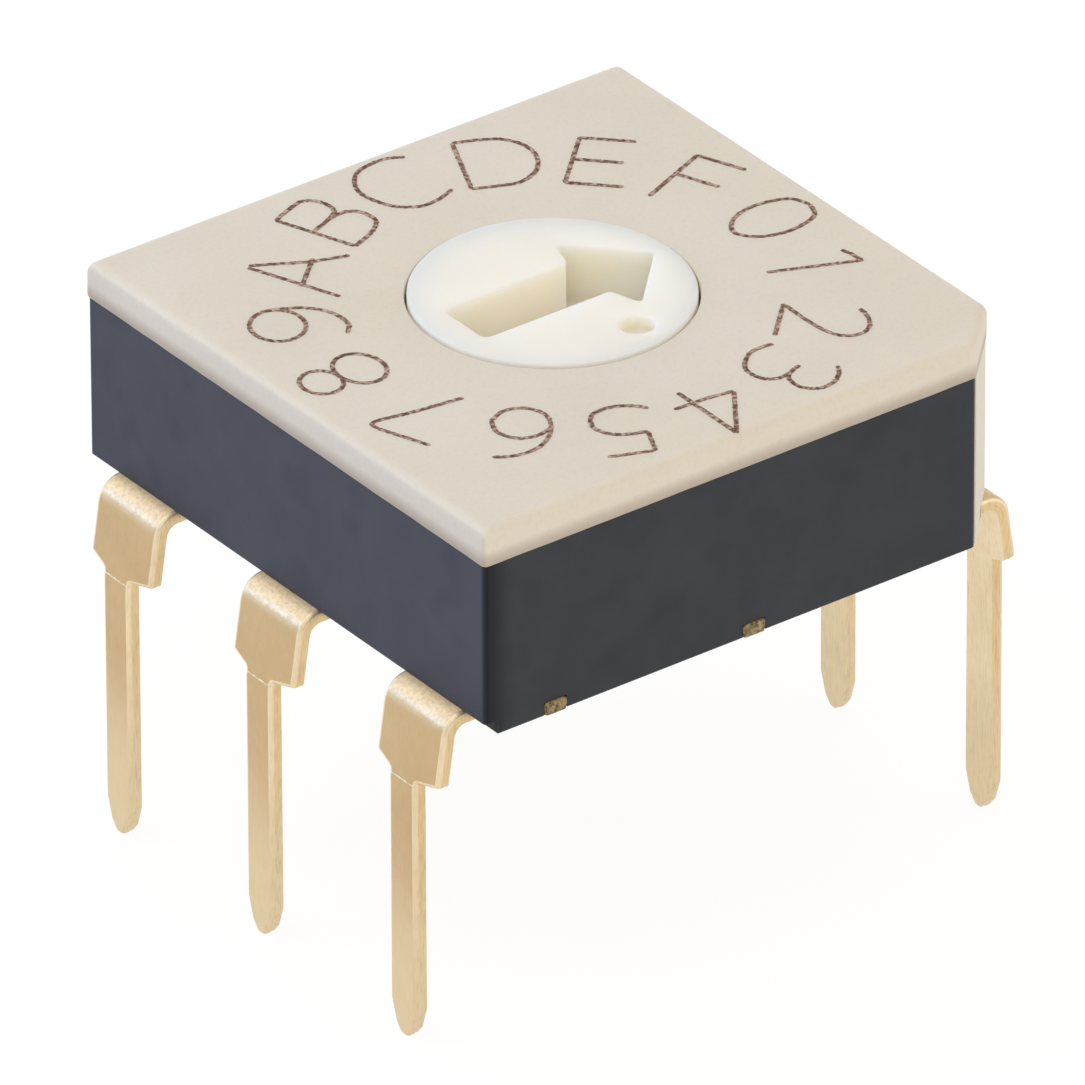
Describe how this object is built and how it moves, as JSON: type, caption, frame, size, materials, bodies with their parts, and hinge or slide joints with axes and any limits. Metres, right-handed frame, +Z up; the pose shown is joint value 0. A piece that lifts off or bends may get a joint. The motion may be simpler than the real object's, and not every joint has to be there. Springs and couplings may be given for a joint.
{
  "type": "rotary dip switch",
  "caption": "Square through-hole rotary coding switch: a flat housing on two rows of bent blade terminals, with a screwdriver-slotted rotor that turns in the cover over a stamped code disc.",
  "frame": {"origin": "middle of the switch on the plane of the terminal tips, which it stands on", "axes": "+Z up through the rotor's axis and out of its slotted face; the terminal rows run along Y, on the -X and +X sides; the arrow points along +X to position 0 at rest"},
  "size_m": [0.0078, 0.007, 0.0065],
  "materials": {
    "black_base": "matt moulded, glass-filled",
    "cream_cover": "matt moulded with laser-marked dial",
    "white_rotor": "matt moulded",
    "gold_plate": "satin gold plating on copper alloy",
    "spring_steel": "rolled stainless spring strip",
    "black_rubber": "matt"
  },
  "bodies": {
    "housing": {"base_housing": "black_base", "cover": "cream_cover", "click_spring": "spring_steel", "common_terminal": "gold_plate", "terminal_1": "gold_plate", "terminal_2": "gold_plate", "terminal_4": "gold_plate", "terminal_8": "gold_plate"},
    "rotor": {"rotor": "white_rotor", "code_disc": "gold_plate", "seal_ring": "black_rubber"}
  },
  "joints": [
    {"name": "rotor_turn", "type": "hinge", "parent": "housing", "child": "rotor", "pos_m": [0, 0, 0.005], "axis": [0, 0, 1], "continuous": true, "deforming": ["click_spring"]}
  ]
}
